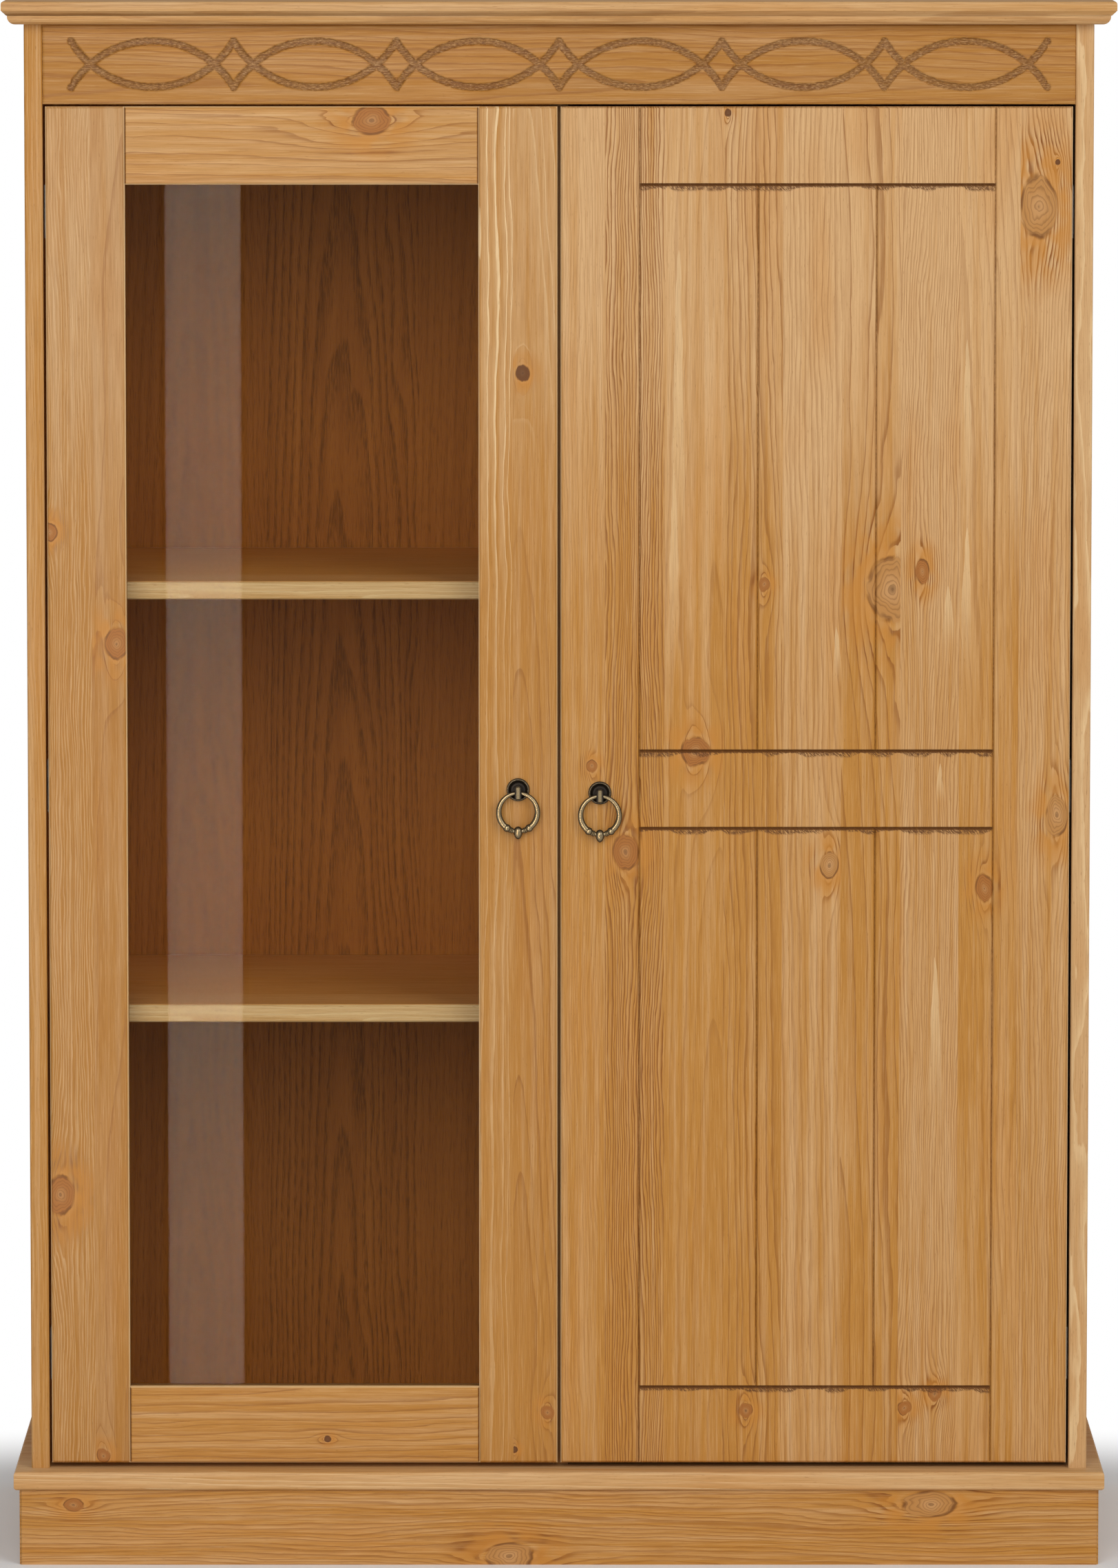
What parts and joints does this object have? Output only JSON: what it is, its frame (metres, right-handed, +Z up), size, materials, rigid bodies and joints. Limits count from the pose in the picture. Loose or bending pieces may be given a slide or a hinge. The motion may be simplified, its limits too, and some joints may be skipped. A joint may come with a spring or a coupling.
{
  "type": "highboard",
  "caption": "Tall pine highboard with a glazed door beside a grooved solid door, a carved arc frieze, a moulded crown and base, and hanging brass ring pulls.",
  "frame": {"origin": "on the floor under the middle of the outline, where the crown sets the width and depth", "axes": "+X to the right seen from the front, -Y out of the front, +Z up"},
  "size_m": [1.04, 0.4, 1.48],
  "materials": {
    "pine": "clear waxed pine",
    "back_veneer": "brown oak veneer",
    "beech": "raw beech",
    "clear_glass": "clear",
    "antique_brass": "antiqued",
    "nickelled_steel": "nickel plated",
    "brown_plastic": "matt"
  },
  "bodies": {
    "carcass": {"back_panel_nails": "nickelled_steel", "base_board": "pine", "carcass_dowels": "beech", "centre_partition": "pine", "frieze_board": "pine", "frieze_dowels": "beech", "left_back_panel": "back_veneer", "left_catch": "brown_plastic", "left_hinge_arms": "nickelled_steel", "left_hinge_plate_screws": "nickelled_steel", "left_hinge_plates": "nickelled_steel", "left_side": "pine", "lower_left_shelf": "pine", "lower_right_shelf": "pine", "plinth_back": "pine", "plinth_corner_blocks": "pine", "plinth_front": "pine", "plinth_left": "pine", "plinth_right": "pine", "right_back_panel": "back_veneer", "right_catch": "brown_plastic", "right_hinge_arms": "nickelled_steel", "right_hinge_plate_screws": "nickelled_steel", "right_hinge_plates": "nickelled_steel", "right_side": "pine", "shelf_pins": "nickelled_steel", "top_board": "pine", "upper_left_shelf": "pine", "upper_right_shelf": "pine"},
    "left_door": {"hinge_stile": "pine", "closing_stile": "pine", "top_rail": "pine", "bottom_rail": "pine", "glass_pane": "clear_glass", "top_bead": "pine", "bottom_bead": "pine", "hinge_side_bead": "pine", "closing_side_bead": "pine", "rail_dowels": "beech", "left_hinge_cups": "nickelled_steel", "left_hinge_pins": "nickelled_steel", "left_cup_screws": "nickelled_steel", "left_strike_plate": "nickelled_steel", "left_rosette": "antique_brass", "left_knuckle": "antique_brass", "left_nut": "nickelled_steel"},
    "right_door": {"right_door_panel": "pine", "right_hinge_cups": "nickelled_steel", "right_hinge_pins": "nickelled_steel", "right_cup_screws": "nickelled_steel", "right_strike_plate": "nickelled_steel", "right_rosette": "antique_brass", "right_knuckle": "antique_brass", "right_nut": "nickelled_steel"},
    "left_ring": {"left_ring": "antique_brass"},
    "right_ring": {"right_ring": "antique_brass"}
  },
  "joints": [
    {"name": "left_door_hinge", "type": "hinge", "parent": "carcass", "child": "left_door", "pos_m": [-0.467, -0.1685, 0.738], "axis": [0, 0, -1], "range_deg": [0, 95]},
    {"name": "right_door_hinge", "type": "hinge", "parent": "carcass", "child": "right_door", "pos_m": [0.467, -0.1685, 0.738], "axis": [0, 0, 1], "range_deg": [0, 95]},
    {"name": "left_ring_swing", "type": "hinge", "parent": "left_door", "child": "left_ring", "pos_m": [-0.0385, -0.1845, 0.7357], "axis": [-1, 0, 0], "range_deg": [0, 170]},
    {"name": "right_ring_swing", "type": "hinge", "parent": "right_door", "child": "right_ring", "pos_m": [0.0385, -0.1845, 0.7327], "axis": [-1, 0, 0], "range_deg": [0, 170]}
  ]
}
